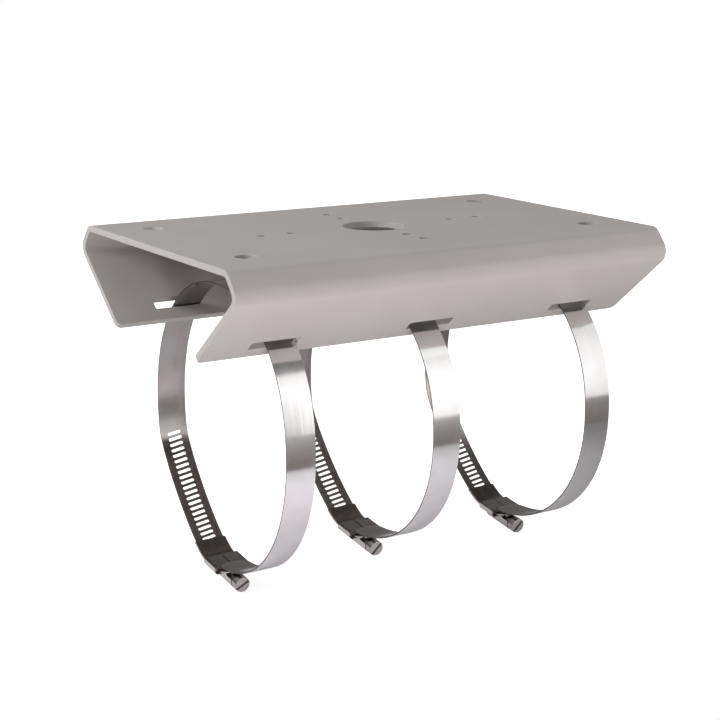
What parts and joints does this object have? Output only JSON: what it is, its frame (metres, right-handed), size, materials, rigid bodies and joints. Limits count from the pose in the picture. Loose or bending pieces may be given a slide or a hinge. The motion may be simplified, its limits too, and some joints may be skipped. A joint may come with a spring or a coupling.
{
  "type": "camera pole mount bracket",
  "caption": "Folded grey steel channel with a drilled camera plate, hung on a pole by three stainless worm-drive band clamps threaded through slots in its sloping legs.",
  "frame": {"origin": "on the axis of the pole, half way along the bracket", "axes": "+X along the pole and the bracket's length, +Y across the bracket, away from the clamps' screw heads, +Z out from the pole to the camera plate"},
  "size_m": [0.25, 0.1668, 0.1801],
  "materials": {
    "grey_powder_coat": "satin",
    "polished_stainless": "polished",
    "pressed_stainless": "bright pressed",
    "plated_screw": "plated"
  },
  "bodies": {
    "bracket": {"channel_bracket": "grey_powder_coat", "left_clamp_band": "polished_stainless", "left_clamp_saddle": "pressed_stainless", "left_clamp_housing": "pressed_stainless", "middle_clamp_band": "polished_stainless", "middle_clamp_saddle": "pressed_stainless", "middle_clamp_housing": "pressed_stainless", "right_clamp_band": "polished_stainless", "right_clamp_saddle": "pressed_stainless", "right_clamp_housing": "pressed_stainless"},
    "left_screw": {"left_clamp_screw": "plated_screw"},
    "middle_screw": {"middle_clamp_screw": "plated_screw"},
    "right_screw": {"right_clamp_screw": "plated_screw"}
  },
  "joints": [
    {"name": "left_screw_turn", "type": "hinge", "parent": "bracket", "child": "left_screw", "pos_m": [-0.0835, 0.00685, -0.07846], "axis": [0, -0.9903, -0.1392], "continuous": true},
    {"name": "middle_screw_turn", "type": "hinge", "parent": "bracket", "child": "middle_screw", "pos_m": [-0.0028, 0.00685, -0.07438], "axis": [0, -0.9903, -0.1392], "continuous": true},
    {"name": "right_screw_turn", "type": "hinge", "parent": "bracket", "child": "right_screw", "pos_m": [0.0921, 0.00685, -0.07878], "axis": [0, -0.9903, -0.1392], "continuous": true}
  ]
}
